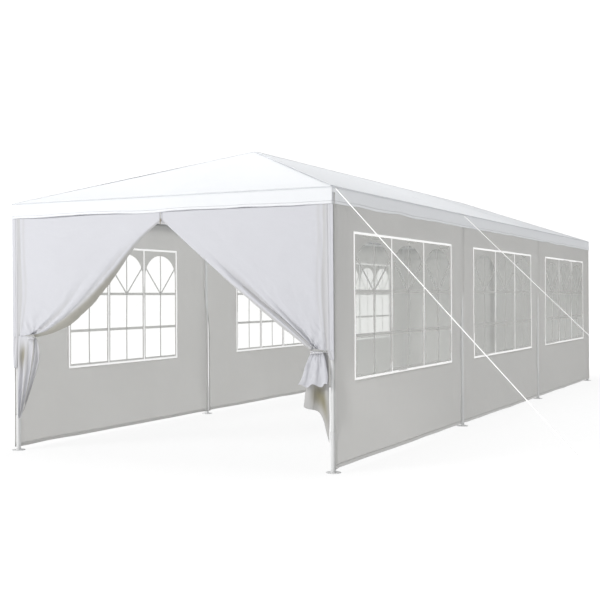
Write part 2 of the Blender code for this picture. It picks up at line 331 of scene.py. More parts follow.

# %% [markdown]
# ## Paint, film, tape and rope
# The tubes are steel with a white powder coat: slightly glossy, with a fine orange-peel. The windows
# are a clear soft film. It lets most of what is behind it through, a little milkiness in it catches
# the light from the other side, and it has a weak gloss that grows as the film is seen more edge on.
# So a transparent shader is mixed with a translucent one, and then with a glossy one. The white tape
# round each window is a ribbed ribbon, and rope is a twisted cord. Both glow faintly, painted light
# that keeps them bright white in the shade.


# %% Hard finishes
def painted(name, colour, roughness, peel=0.00006):
    paint = Paint(name)
    where = paint.node("ShaderNodeTexCoord", {}, {}, out="Object")
    mottle = paint.noise(where, 6.0, 3)
    height = paint.noise(where, 420.0, 1) * peel
    worn = tuple(c * 0.93 for c in colour)
    return paint.finish(paint.node("ShaderNodeBsdfPrincipled", {}, {
        "Base Color": paint.mix(mottle, worn, colour), "Roughness": roughness + mottle * 0.1,
        "Specular IOR Level": 0.4, "Normal": paint.bump(height, 1.0)}))


def clear_film(name):
    """Soft clear film: mostly see-through, with a little milkiness that glows against the light."""
    paint = Paint(name)
    where = paint.node("ShaderNodeTexCoord", {}, {}, out="Object")
    ripple = paint.bump(paint.noise(where, 3.0, 2) * 0.01, 1.0, 0.5)
    clear = paint.node("ShaderNodeBsdfTransparent", {}, {"Color": (0.95, 0.955, 0.945, 1)})
    milk = paint.node("ShaderNodeBsdfTranslucent", {}, {
        "Color": (0.93, 0.94, 0.925, 1), "Normal": ripple})
    sheen = paint.node("ShaderNodeBsdfPrincipled", {}, {
        "Base Color": (0.60, 0.61, 0.585, 1), "Roughness": 0.24, "Normal": ripple})
    haze = paint.noise(where, 1.5, 3)
    body = paint.blend(0.11 + haze * 0.10, clear, milk)
    facing = paint.node("ShaderNodeLayerWeight", {}, {"Blend": 0.3}, out="Fresnel")
    return paint.finish(paint.blend(0.05 + facing * 0.25, body, sheen))


def ribbon(name, colour, ribs, lift=0.0):
    """Woven tape or cord, ribbed along its own UV map. lift is painted light: a faint glow that keeps
    it bright white whatever light falls on it.
    """
    paint = Paint(name)
    flat, across, _ = paint.cloth_map()
    rib = (across * (math.tau / ribs)).sine()
    dusty = tuple(c * 0.94 for c in colour)
    return paint.finish(paint.node("ShaderNodeBsdfPrincipled", {}, {
        "Base Color": paint.mix(paint.noise(flat, 9.0, 2), dusty, colour), "Roughness": 0.7,
        "Emission Color": (1, 1, 1, 1), "Emission Strength": lift,
        "Normal": paint.bump(rib * 0.0002, 1.0)}))


FRAME_PAINT = painted("frame_paint", (0.86, 0.865, 0.87), 0.32)
# The legs' paint is the frame's white a little darker: painted shade, as the legs stand in shade.
SHADED_LEG_PAINT = painted("shaded_leg_paint", (0.80, 0.805, 0.805), 0.34)
FITTING_PAINT = painted("fitting_paint", (0.78, 0.785, 0.79), 0.38, 0.0001)
STAKE_STEEL = painted("stake_steel", (0.55, 0.55, 0.54), 0.45)
ZIP_METAL = painted("zip_metal", (0.30, 0.27, 0.22), 0.35)
ZIP_COIL = painted("zip_coil", (0.62, 0.61, 0.59), 0.5)
FILM = clear_film("window_film_clear")
# The window tape glows faintly: painted light that keeps it bright white in shade.
TAPE_WHITE = ribbon("tape_white", (0.95, 0.95, 0.94), 0.0016, 0.34)
TIE_TAPE = ribbon("tie_tape", (0.80, 0.80, 0.82), 0.0016)
# The rope glows faintly as well: painted light.
ROPE_CORD = ribbon("rope_cord", (0.95, 0.95, 0.94), 0.004, 0.28)
print("materials made:", len(bpy.data.materials))

# %% [markdown]
# ## The floor
# A wide pale disc under the tent. Most of its brightness is its own, as on a floor lit from below. Its
# glow is dimmer in an oval round the tent and full further out: a soft shadow of the tent, painted into
# the glow.

# %% Floor
FLOOR_RADIUS = 90
FLOOR_GLOW = 1.11
PAINTED_SHADOW_WITHIN, PAINTED_SHADOW_ENDS = 2.6, 5.4


def make_floor():
    paint = Paint("studio_floor")
    where = paint.node("ShaderNodeTexCoord", {}, {}, out="Object")
    soft = paint.mix(paint.noise(where, 0.4, 2), (0.14, 0.14, 0.14), (0.15, 0.15, 0.15))
    # Painted shadow: the glow is dimmer within an oval round the tent and rises to full further out.
    oval = paint.node("ShaderNodeVectorMath", {"operation": "MULTIPLY"}, {0: where, 1: (1, 0.55, 1)})
    away = paint.node("ShaderNodeVectorMath", {"operation": "LENGTH"}, {0: oval}, out=1)
    rise = paint.node("ShaderNodeMapRange", {"interpolation_type": "SMOOTHSTEP"}, {
        "Value": away, "From Min": PAINTED_SHADOW_WITHIN, "From Max": PAINTED_SHADOW_ENDS})
    matt = paint.node("ShaderNodeBsdfPrincipled", {}, {
        "Base Color": soft, "Roughness": 1.0, "Specular IOR Level": 0.0,
        "Emission Color": paint.mix(rise, (0.78, 0.78, 0.78), (1, 1, 1)),
        "Emission Strength": FLOOR_GLOW})
    bm = bmesh.new()
    bmesh.ops.create_circle(bm, cap_ends=True, segments=96, radius=FLOOR_RADIUS)
    mesh = bpy.data.meshes.new("floor")
    bm.to_mesh(mesh)
    bm.free()
    mesh.materials.append(paint.finish(matt))
    floor = bpy.data.objects.new("floor", mesh)
    bpy.context.scene.collection.objects.link(floor)


make_floor()
print("floor laid")

# %% [markdown]
# ## Helpers for pieces
# `keep` turns a bmesh into a finished piece that rides on the tent's one body and stands for its CAD
# node. `lay_grid` is how the hanging cloth is made: a flat grid, whose two parameters go from 0 to 1,
# is given a UV map in metres of cloth and then each vertex is moved to where that bit of cloth hangs.
# `hang_cloth` and `lay_band` make whole pieces of such grids: a sheet, and a narrow sewn band.


# %% Piece helpers
def keep(name, bm, mats, nodes=(), smooth=True, sharp=50):
    mesh = bpy.data.meshes.new(name)
    bm.to_mesh(mesh)
    bm.free()
    for mat in mats:
        mesh.materials.append(mat)
    if smooth:
        mesh.shade_smooth()
        mesh.set_sharp_from_angle(angle=math.radians(sharp))
    piece = bpy.data.objects.new(name, mesh)
    bpy.context.scene.collection.objects.link(piece)
    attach(piece, "root")
    if nodes:
        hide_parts(*nodes)
    return piece


def lay_grid(bm, columns, rows, size, place, keep_face=None, painted_shade=None):
    """Adds a cloth grid. place(u, v) gives the vertex for u across and v along, both 0 to 1, size the
    cloth's measure in metres for its UV map, and painted_shade(u, v) how far it turns to its darker
    colour of painted shade."""
    marks = bm.verts.layers.float_vector.get("mark") or bm.verts.layers.float_vector.new("mark")
    painted_shades = bm.verts.layers.float.get("painted_shade") or bm.verts.layers.float.new("painted_shade")
    uv = bm.loops.layers.uv.get("cloth") or bm.loops.layers.uv.new("cloth")
    grid = bmesh.ops.create_grid(bm, x_segments=columns, y_segments=rows, size=0.5)["verts"]
    for v in grid:
        v[marks] = (v.co.x + 0.5, v.co.y + 0.5, 0)
    faces = {f for v in grid for f in v.link_faces}
    if keep_face:
        centres = {f: f.calc_center_median() for f in faces}
        gone = [f for f in faces if not keep_face(centres[f].x + 0.5, centres[f].y + 0.5)]
        faces -= set(gone)
        bmesh.ops.delete(bm, geom=gone, context="FACES")
        grid = list({v for f in faces for v in f.verts})
    for f in faces:
        for loop in f.loops:
            mark = loop.vert[marks]
            loop[uv].uv = (mark.x * size[0], mark.y * size[1])
    for v in grid:
        u, w = v[marks].x, v[marks].y
        v.co = place(u, w)
        v[painted_shades] = painted_shade(u, w) if painted_shade else 0.0
    return list(faces)


def thicken(piece, thickness, offset=0.0):
    """Gives single-layer cloth its thickness: offset 0 on both sides of it, -1 on its inside."""
    shell = piece.modifiers.new("thickness", "SOLIDIFY")
    shell.thickness, shell.offset = thickness, offset
    shell.use_even_offset = False
    return piece


def lay_band(name, width, length, steps, place, mat, thickness=0.001):
    """A narrow sewn band: place(u, v) gives its points, u across it and v along it."""
    bm = bmesh.new()
    lay_grid(bm, 3, steps, (width, length), place)
    return thicken(keep(name, bm, [mat], ()), thickness)


def hang_cloth(name, columns, rows, size, place, mat, node, thickness=0.001,
               keep_face=None):
    """One sheet of cloth, laid by place(u, v), that stands for its CAD node."""
    bm = bmesh.new()
    lay_grid(bm, columns, rows, size, place, keep_face)
    bmesh.ops.recalc_face_normals(bm, faces=bm.faces)
    sheet = keep(name, bm, [mat], [node])
    return thicken(sheet, thickness) if thickness else sheet


def smoothstep(low, high, value):
    t = max(0.0, min(1.0, (value - low) / (high - low)))
    return t * t * (3 - 2 * t)


def ripple(x, y, seed, scale=1.0):
    """Smooth noise from -1 to 1, the same in each run."""
    return noise.noise(Vector((x * scale, y * scale, seed * 7.31)))


print("helpers ready")

# %% [markdown]
# ## Tubes
# Each tube is a length of steel pipe. A cone operator with equal radii gives a cylinder along any line,
# and a small bevel on its rims catches the light where a real tube is cut. The CAD tubes have few
# sides, so each one is replaced by a rounder tube of the same size and place.

# %% Tube helper
TUBE_R = (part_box("eave_rail_front")[1].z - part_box("eave_rail_front")[0].z) / 2
SLEEVE_R = 0.019
SLEEVE = 0.10
IN_SOCKET = 0.01
TUBE_SIDES = 28


def add_tube(bm, start, end, radius, sides=TUBE_SIDES, rim=0.0008):
    """A round bar between two points. rim is the bevel at its two ends."""
    start, end = Vector(start), Vector(end)
    aim = (end - start).to_track_quat("Z", "Y").to_matrix().to_4x4()
    made = bmesh.ops.create_cone(bm, cap_ends=True, segments=sides, radius1=radius, radius2=radius,
                                 depth=(end - start).length,
                                 matrix=Matrix.Translation((start + end) / 2) @ aim)
    edges = dict.fromkeys(e for v in made["verts"] for e in v.link_edges)
    caps = [e for e in edges if any(len(f.verts) > 4 for f in e.link_faces)]
    if rim:
        bmesh.ops.bevel(bm, geom=caps, offset=rim, segments=2, profile=0.5, affect="EDGES",
                        material=-1)


def tube_piece(name, start, end, node):
    """A frame tube between two joints, pushed into the sockets at both ends."""
    along = (end - start).normalized() * (SLEEVE - IN_SOCKET)
    bm = bmesh.new()
    add_tube(bm, start + along, end - along, TUBE_R)
    return keep(name, bm, [FRAME_PAINT], [node])


def eave(side, y):
    return Vector((side * LEG_X, y, RAIL_Z))


def ridge(y):
    return Vector((0, y, RIDGE_Z))


def is_end(row):
    return row in ENDS


def rafter_top(row, y):
    """Hip rafters lean in to the ridge's end, common rafters go straight up to it."""
    return ridge(math.copysign(RIDGE_END, y) if is_end(row) else y)


# %% Rails, rafters and ridge
for word, side in SIDES.items():
    for bay, y, far in zip(BAYS, LEG_Y, LEG_Y[1:]):
        tube_piece(f"rail_{word}_{bay}", eave(side, y), eave(side, far), f"eave_rail_{word}_{bay}")
    for row, y in zip(ROWS, LEG_Y):
        kind = "hip" if is_end(row) else "common"
        tube_piece(f"rafter_{row}_{word}", eave(side, y), rafter_top(row, y),
                   f"{kind}_rafter_{row}_{word}")
for row, y in (("front", LEG_Y[0]), ("back", LEG_Y[-1])):
    tube_piece(f"rail_{row}", eave(-1, y), eave(1, y), f"eave_rail_{row}")
tube_piece("ridge_tube_middle", ridge(LEG_Y[1]), ridge(LEG_Y[2]), "ridge_middle")

# %% [markdown]
# ## Legs
# A leg is two tubes: the wider lower one carries a round foot plate with peg holes, and the upper one
# slides into it. Turning the profile of the whole leg round its axis gives plate, weld and both tubes
# at once. The peg holes are bored by a Boolean.

# %% Leg
SLIP_Z = 0.29
LOWER_R = 0.019
PLATE_R = (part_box("leg_front_left")[1].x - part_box("leg_front_left")[0].x) / 2
PLATE_H = 0.005
PEG_HOLE_R = 0.0065
PEG_HOLE_AT = 0.040


def turned_profile(bm, centre, profile, steps=40):
    """Spins a profile of (radius, height) points round the vertical through centre."""
    corners = [bm.verts.new((centre.x + radius, centre.y, height)) for radius, height in profile]
    edges = [bm.edges.new(pair) for pair in zip(corners, corners[1:])]
    bmesh.ops.spin(bm, geom=corners + edges, cent=(centre.x, centre.y, 0), axis=(0, 0, 1),
                   angle=math.tau, steps=steps, use_merge=True)
    bmesh.ops.remove_doubles(bm, verts=bm.verts, dist=0.00005)
    bmesh.ops.recalc_face_normals(bm, faces=bm.faces)


def peg_pins(centre):
    """Four upright pins, for the plate's holes."""
    bm = bmesh.new()
    for angle in (0, math.pi / 2, math.pi, -math.pi / 2):
        x, y = centre.x + PEG_HOLE_AT * math.cos(angle), centre.y + PEG_HOLE_AT * math.sin(angle)
        add_tube(bm, (x, y, -0.01), (x, y, PLATE_H + 0.0008), PEG_HOLE_R, 20, rim=0)
    mesh = bpy.data.meshes.new("pins")
    bm.to_mesh(mesh)
    bm.free()
    pins = bpy.data.objects.new("pins", mesh)
    bpy.context.scene.collection.objects.link(pins)
    return pins


def make_leg(row, word, y, side):
    centre = Vector((side * LEG_X, y, 0))
    top = RAIL_Z - SLEEVE + IN_SOCKET
    edge = 0.0012
    plate = [(0, 0), (PLATE_R - edge, 0), (PLATE_R, edge), (PLATE_R, PLATE_H - edge),
             (PLATE_R - edge, PLATE_H)]
    weld = [(LOWER_R + 0.005, PLATE_H), (LOWER_R + 0.0015, PLATE_H + 0.0015),
            (LOWER_R, PLATE_H + 0.005)]
    slip = [(LOWER_R, SLIP_Z - 0.001), (LOWER_R - 0.001, SLIP_Z), (TUBE_R + 0.0006, SLIP_Z),
            (TUBE_R, SLIP_Z - 0.002)]
    bm = bmesh.new()
    turned_profile(bm, centre, plate + weld + slip + [(TUBE_R, top), (0, top)])
    leg = keep(f"pole_{row}_{word}", bm, [SHADED_LEG_PAINT], [f"leg_{row}_{word}"])
    pins = peg_pins(centre)
    cut = leg.modifiers.new("peg_holes", "BOOLEAN")
    cut.object, cut.solver = pins, "EXACT"
    bpy.context.view_layer.update()
    graph = bpy.context.evaluated_depsgraph_get()
    bored = bpy.data.meshes.new_from_object(leg.evaluated_get(graph))
    leg.modifiers.clear()
    leg.data = bored
    bpy.data.objects.remove(pins, do_unlink=True)


for word, side in SIDES.items():
    for row, y in zip(ROWS, LEG_Y):
        make_leg(row, word, y, side)

# %% [markdown]
# ## Connectors
# Where tubes meet, short sockets are welded to a ball. Each socket is a sleeve with a rolled lip at
# its mouth and a bolt that clamps the tube. The sleeve and its lip are tubes of slightly different
# radius, and the bolt head is a hexagon, which a cone with six sides makes.


# %% Connectors
LIP, LIP_PROUD = 0.006, 0.0012
BOLT_R, BOLT_HIGH = 0.006, 0.006
BALL_R = SLEEVE_R + 0.001


def add_socket(bm, centre, arm):
    """One sleeve, its lip and its clamping bolt, from the ball outwards."""
    way = Vector(arm).normalized()
    add_tube(bm, centre, centre + way * SLEEVE, SLEEVE_R)
    add_tube(bm, centre + way * (SLEEVE - LIP), centre + way * (SLEEVE + 0.0005), SLEEVE_R + LIP_PROUD)
    across = way.cross(Vector((0, 0, 1)))
    if across.length < 0.3:
        across = Vector((0, 1, 0))
    out = across.normalized().cross(way).normalized()
    at = centre + way * SLEEVE * 0.6
    add_tube(bm, at + out * SLEEVE_R * 0.9, at + out * (SLEEVE_R + BOLT_HIGH), BOLT_R, 6, 0.0006)


def make_connector(name, centre, arms, nodes):
    bm = bmesh.new()
    bmesh.ops.create_uvsphere(bm, u_segments=28, v_segments=16, radius=BALL_R,
                              matrix=Matrix.Translation(centre))
    for arm in arms:
        add_socket(bm, centre, arm)
    keep(name, bm, [FITTING_PAINT], nodes)


for word, side in SIDES.items():
    for i, (row, y) in enumerate(zip(ROWS, LEG_Y)):
        here = eave(side, y)
        arms = [(0, 0, -1), rafter_top(row, y) - here]
        arms += [(-side, 0, 0)] if is_end(row) else []
        arms += [(0, 1, 0)] if i < 3 else []
        arms += [(0, -1, 0)] if i else []
        make_connector(f"connector_{row}_{word}", here, arms, [f"eave_connector_{row}_{word}"])
for name, way in ENDS.items():
    tip, inner = ridge(way * RIDGE_END), ridge(math.copysign(LEG_Y[2], way))
    tube_piece(f"ridge_tube_{name}", tip, inner, f"ridge_{name}")
    hips = [eave(side, math.copysign(LEG_Y[-1], way)) - tip for side in (-1, 1)]
    commons = [eave(side, inner.y) - inner for side in (-1, 1)]
    make_connector(f"ridge_knot_end_{name}", tip, hips + [inner - tip], [f"ridge_{name}"])
    make_connector(f"ridge_knot_{name}", inner, commons + [tip - inner, inner - tip], [f"ridge_{name}"])

# %% [markdown]
# ## Roof cover
# The cover is one sheet cut from four panels, welded along the ridge and hips, with a straight valance
# sewn round the edge. Between the rafters the cloth gives a little, and the valance is never quite
# flat: it waves, and its hem lifts and falls. A grid over the plan is raised to the roof's four
# planes, and its height is then lowered by how far a point is from the nearest pole. The valance is
# a second grid that runs right round the tent.

# %% Roof cover
SAG = 0.016
HALF_X, HALF_Y = cover_high.x, cover_high.y
RISE = cover_high.z - EAVE_Z
HIP_RUN = HALF_Y - RIDGE_END
GIRTH = 4 * (HALF_X + HALF_Y)
VALANCE = EAVE_Z - cover_low.z


def roof_height(x, y):
    """The taut roof above the plan point, less the give of its cloth."""
    side = (HALF_X - abs(x)) / HALF_X
    end = (HALF_Y - abs(y)) / HIP_RUN
    taut = EAVE_Z + RISE * min(side, end, 1)
    hip = abs(side - end) * 0.7
    poles = [abs(x), abs(abs(y) - LEG_Y[2]) if side < end else 9, hip,
             HALF_X - abs(x), HALF_Y - abs(y)]
    nearest = min(poles)
    give = SAG * (1 - math.exp(-nearest / 0.22)) * (1 + 0.35 * ripple(x, y, 3, 1.3))
    return taut - give


def roof_point(u, v):
    """A point of the plan, raised to the roof."""
    y = (v * 2 - 1) * HALF_Y
    x = (u * 2 - 1) * HALF_X
    return Vector((x, y, roof_height(x, y)))


def perimeter(t):
    """(place, outward, distance to the nearer corner) for t from 0 to 1 round the eaves, starting at
    the front left corner."""
    corners = [(-HALF_X, -HALF_Y), (HALF_X, -HALF_Y), (HALF_X, HALF_Y), (-HALF_X, HALF_Y)]
    lengths = [HALF_X * 2, HALF_Y * 2] * 2
    run = t * sum(lengths)
    for i, length in enumerate(lengths):
        if run <= length or i == 3:
            a, b = Vector(corners[i]), Vector(corners[(i + 1) % 4])
            way = (b - a) / length
            return a + way * min(run, length), Vector((way.y, -way.x)), min(run, length - run)
        run -= length


def valance_point(u, v):
    """u runs round the tent, v from the seam (1) down to the hem (0)."""
    place, out, to_corner = perimeter(u)
    drop = 1 - v
    along = place.x * abs(out.y) + place.y * abs(out.x)
    seed = 5 + 3 * out.x + out.y
    wave = 0.5 + 0.5 * ripple(along, 0, seed, 1.7) + 0.35 * ripple(along, 0, seed + 20, 5.3)
    free = smoothstep(0.0, 0.30, to_corner)
    push = drop * (0.003 + 0.014 * max(0.0, wave) * free)
    hem = (0.010 * ripple(along, 0, seed + 40, 2.3) + 0.005 * ripple(along, 0, seed + 60, 6.0)) * free
    lean = place + out * push
    return Vector((lean.x, lean.y, EAVE_Z - drop * (VALANCE + hem)))


def make_cover():
    bm = bmesh.new()
    lay_grid(bm, 58, 180, (2 * HALF_X, 2 * HALF_Y), roof_point)
    lay_grid(bm, 480, 6, (GIRTH, VALANCE), valance_point)
    bmesh.ops.remove_doubles(bm, verts=bm.verts, dist=0.0005)
    bmesh.ops.recalc_face_normals(bm, faces=bm.faces)
    cover = keep("cover", bm, [COVER_CLOTH], ["roof_cover"], sharp=35)
    thicken(cover, 0.0012, -1)


make_cover()
print("cover cut for eaves", round(2 * HALF_X, 2), "by", round(2 * HALF_Y, 2), "metres")

# %% [markdown]
# ## Seams of the cover
# A sewn band runs down each hip, along the ridge and over the two inner rafters. The valance is sewn on
# with a doubled edge, and it ends in a hem. The doubled edge is coloured grey as painted shade: the
# thin shadow line under the roof. Each is a narrow band whose points are read from the function that
# shaped the cloth, so it lies on it.

# %% Seams
SEAM_LIFT = 0.0016
EAVE_SEAM_W = 0.008


def roof_seam(name, start, end, steps):
    start, end = Vector(start), Vector(end)
    across = (end - start).orthogonal().normalized() * BAND_W / 2

    def place(u, v):
        p = start.lerp(end, v) + across * (u * 2 - 1)
        return Vector((p.x, p.y, roof_height(p.x, p.y) + SEAM_LIFT))

    lay_band(name, BAND_W, (end - start).length, steps, place, COVER_BAND, 0.0006)


for row, way in ENDS.items():
    for word, side in SIDES.items():
        roof_seam(f"hip_seam_{row}_{word}", (side * HALF_X * 0.993, way * (HALF_Y * 0.996)),
                  (side * 0.01, way * (RIDGE_END + 0.01)), 60)
roof_seam("ridge_seam", (0, -RIDGE_END), (0, RIDGE_END), 80)
for row, way in ENDS.items():
    for word, side in SIDES.items():
        roof_seam(f"cover_seam_{row}_{word}", (side * HALF_X * 0.99, way * LEG_Y[2]),
                  (side * 0.02, way * LEG_Y[2]), 40)


def eave_seam(u, v):
    """The doubled edge where the valance is sewn on."""
    at, out, _ = perimeter(v)
    p = at + out * (0.0012 + 0.0012 * math.sin(u * math.pi))
    return Vector((p.x, p.y, EAVE_Z - 0.001 - u * (EAVE_SEAM_W - 0.001)))


def valance_hem(u, v):
    p = valance_point(v, u * 0.022 / VALANCE)
    _, out, _ = perimeter(v)
    return p + Vector((*out, 0)) * 0.0008


lay_band("eave_seam", EAVE_SEAM_W, GIRTH, 480, eave_seam, EAVE_SHADE_BAND, 0.0006)
lay_band("valance_hem", BAND_W, GIRTH, 480, valance_hem, COVER_BAND, 0.0008)

# %% [markdown]
# ## Window walls
# A side wall hangs from the eave rail and is strapped to its two legs, so it is pulled over each leg
# like a skin and hangs nearly flat between them. Its window is a clear film held in a lattice: three
# lights with round heads, each cut out of the wall cloth and divided by narrow cloth bars. White tape
# is sewn round the window and between the lights. Everything on a wall is placed by one function,
# `hang`, which knows where the cloth is at any point, so that bars, tape and film move with it.

# %% Where a wall hangs
WALL_X = wall_low.x
WALL_BOTTOM, WALL_TOP = wall_low.z, wall_high.z
FILM_LAP = 0.03
FILM_EDGE = 0.007
SILL, HEAD = film_low.z + FILM_LAP, film_high.z - FILM_LAP
REST = -0.007
OVER_LEG = 0.0125
PART_TOP, PART_LOW, PART_BY = 1.45, 0.85, 0.022


def wall_out(y, z, side):
    """How far the cloth stands out from its plane: over the legs, in between, and in its creases."""
    leg = min(abs(y - leg_y) for leg_y in LEG_Y)
    over_leg = math.exp(-(leg / 0.026) ** 2) * OVER_LEG
    inner_leg = abs(y) < LEG_Y[2] + 0.5
    tuck = smoothstep(PART_TOP, PART_LOW, z) if inner_leg else 0.0
    over_leg += tuck * (-over_leg - 0.027 * math.exp(-(leg / 0.065) ** 2))
    slack = smoothstep(0.05, 0.5, leg)
    sway = 0.007 * ripple(y, z, 20 + side, 0.9)
    slant = 0.0045 * ripple(y * 0.8 + z * 0.9, z * 0.25 - y * 0.2, 30 + side, 2.6)
    beside_leg = math.exp(-(leg / 0.20) ** 2) * smoothstep(0.03, 0.08, leg)
    pull = 0.004 * math.sin(z * 8 + y * 9) * beside_leg
    below = max(0.0, 0.45 - z) * 0.020 * ripple(y, 0, 33 + side, 1.6)
    return REST + over_leg + (sway + slant + below) * slack + pull


def hang(side, y, z, proud=0.0):
    return Vector((side * (WALL_X + wall_out(y, z, side) + proud), y, z))


def between(t, stops):
    """Piecewise linear: stops are (t, value) pairs."""
    for (t0, a), (t1, b) in zip(stops, stops[1:]):
        if t <= t1:
            return a + (b - a) * (t - t0) / (t1 - t0)
    return stops[-1][1]


def window_of(word):
    """Width of one side's windows and how far their middles are from the bays' middles."""
    low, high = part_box(f"window_film_{word}")
    return high.y - low.y - 2 * FILM_LAP - 2 * BAY, (low.y + high.y) / 2


print("windows are", {word: round(window_of(word)[0], 2) for word in SIDES}, "metres wide")

# %% [markdown]
# ### The wall cloth
# The grid's lines are bunched so that they fall exactly on the window's edges, and the faces inside
# are left out. Two neighbouring walls meet on the middle of a leg. From the upper half of the windows
# down they draw apart, as cloth does below its last tie, and the white leg shows between their edges,
# which curl in beside it.

# %% Wall cloth
EDGE_CURL = 0.018
HEM_H = 0.030
HOLE_U, HOLE_V = (0.22, 0.78), (0.3, 0.8)
EDGE_U, EDGE_W = 0.02, 0.006
MEET, ROUND_CORNER = 0.0015, 0.016


def edge_gap(z, inner_leg):
    """How far a wall's edge is from the leg's middle at this height. It goes round a corner leg."""
    return MEET + PART_BY * smoothstep(PART_TOP, PART_LOW, z) if inner_leg else -ROUND_CORNER


def wall_point(word, side, bay, u, v):
    i = BAYS.index(bay)
    wide, shift = window_of(word)
    middle = (LEG_Y[i] + LEG_Y[i + 1]) / 2 + shift
    z = between(v, [(0, WALL_BOTTOM), (HOLE_V[0], SILL), (HOLE_V[1], HEAD), (1, WALL_TOP)])
    near = LEG_Y[i] + edge_gap(z, i > 0)
    far = LEG_Y[i + 1] - edge_gap(z, i < 2)
    y = between(u, [(0, near), (EDGE_U, near + EDGE_W), (HOLE_U[0], middle - wide / 2),
                    (HOLE_U[1], middle + wide / 2), (1 - EDGE_U, far - EDGE_W), (1, far)])
    p = hang(side, y, z)
    curl = smoothstep(EDGE_U, 0.0, u) * (i > 0) + smoothstep(1 - EDGE_U, 1.0, u) * (i < 2)
    p.x -= side * curl * EDGE_CURL * smoothstep(PART_TOP + 0.2, PART_LOW, z)
    p.z += 0.006 * ripple(y, 0, 41 + side, 1.9) * smoothstep(0.10, 0.0, v)
    return p


def make_wall(word, side, bay):
    def solid(u, v):
        return not (HOLE_U[0] < u < HOLE_U[1] and HOLE_V[0] < v < HOLE_V[1])

    def place(u, v):
        return wall_point(word, side, bay, u, v)

    height = WALL_TOP - WALL_BOTTOM
    wall = hang_cloth(f"wall_{word}_{bay}", 100, 60, (BAY, height), place, WALL_CLOTH,
                      f"side_wall_{word}_{bay}", keep_face=solid)

    def hem(u, v):
        p = place(0.004 + v * 0.992, u * HOLE_V[0] * HEM_H / (SILL - WALL_BOTTOM))
        return p + Vector((side * 0.0009, 0, 0))

    lay_band(f"wall_hem_{word}_{bay}", BAND_W, BAY, 100, hem, WALL_BAND)


for word, side in SIDES.items():
    for bay in BAYS:
        make_wall(word, side, bay)

# %% [markdown]
# ### Lights, bars and tape
# One light is a panel of wall cloth with a round-headed hole. The hole's outline is a few straight
# runs and one arc, the panel's is a rectangle, and filling between the two loops of edges gives the
# cloth. The bars are narrow strips: one upright, one level bar under the round head and one below
# it, and two that open like a V from the middle of the upper bar. The shape is made flat and then
# every vertex is handed to `hang`. The clear film runs through the middle of the bars and the tape,
# as it does where it is welded between two layers of strip.

# %% Window light
LIGHTS = 3
TALL = HEAD - SILL
BORDER_SIDE, BORDER_LOW, BORDER_TOP = 0.024, 0.026, 0.052
SPRING = TALL * 0.765
LEVEL_BARS = (TALL * 0.295, TALL * 0.60)
BAR_W, THIN_BAR_W, TAPE_W = 0.024, 0.016, 0.017
BAR_LAP = 0.004
BAR_PROUD, BAR_THICK, TAPE_THICK = 0.0004, 0.0016, 0.005
ARC_STEPS = 24


def light_hole(light_w):
    """Hole outline in (across, up) from the light's lower middle."""
    half, rise = light_w / 2 - BORDER_SIDE, TALL - BORDER_TOP - SPRING
    angles = [math.pi * i / ARC_STEPS for i in range(ARC_STEPS + 1)]
    arc = [(half * math.cos(a), SPRING + rise * math.sin(a)) for a in angles]
    return [(-half, BORDER_LOW), (half, BORDER_LOW)] + arc


def flat_loop(bm, points):
    corners = [bm.verts.new((x, 0, z)) for x, z in points]
    return [bm.edges.new(pair) for pair in zip(corners, corners[1:] + corners[:1])]


def flat_bar(bm, start, end, width, pieces=6):
    """A strip of cloth between two points of the flat window, subdivided so that it can bend."""
    start, end = Vector((start[0], 0, start[1])), Vector((end[0], 0, end[1]))
    across = Vector((end.z - start.z, 0, start.x - end.x)).normalized() * width / 2
    ends = [bm.verts.new(p) for p in (start - across, start + across, end + across, end - across)]
    face = bm.faces.new(ends)
    cuts = [e for e in face.edges if e.calc_length() > width * 1.01]
    bmesh.ops.subdivide_edges(bm, edges=cuts, cuts=pieces, use_grid_fill=True)


def flat_light(bm, shift, light_w):
    """One light, with its bars, on a plane."""
    half = light_w / 2
    new = bmesh.new()
    edges = flat_loop(new, light_hole(light_w))
    edges += flat_loop(new, [(-half, 0), (half, 0), (half, TALL), (-half, TALL)])
    bmesh.ops.triangle_fill(new, use_beauty=True, use_dissolve=False, edges=edges, normal=(0, -1, 0))
    reach = half - BORDER_SIDE
    for level in LEVEL_BARS:
        flat_bar(new, (-reach - BAR_LAP, level), (reach + BAR_LAP, level), BAR_W)
    flat_bar(new, (0, BORDER_LOW - BAR_LAP), (0, TALL - BORDER_TOP + BAR_LAP), THIN_BAR_W, 12)
    lean = math.pi / 2 * 0.22
    tip_x = reach * math.cos(lean) + BAR_LAP
    tip_z = SPRING + (TALL - BORDER_TOP - SPRING) * math.sin(lean) + BAR_LAP
    for way in (-1, 1):
        flat_bar(new, (0, LEVEL_BARS[1]), (way * tip_x, tip_z), THIN_BAR_W)
    bmesh.ops.translate(new, vec=(shift, 0, 0), verts=new.verts)
    scratch = bpy.data.meshes.new("scratch")
    new.to_mesh(scratch)
    new.free()
    bm.from_mesh(scratch)
    bpy.data.meshes.remove(scratch)


def bend_to_wall(bm, side, middle, proud):
    """Maps a flat window at the origin onto the hanging wall, and writes its UV map."""
    uv = bm.loops.layers.uv.get("cloth") or bm.loops.layers.uv.new("cloth")
    for f in bm.faces:
        for loop in f.loops:
            loop[uv].uv = (loop.vert.co.x, loop.vert.co.z)
    for v in bm.verts:
        v.co = hang(side, middle + v.co.x, SILL + v.co.z, proud)


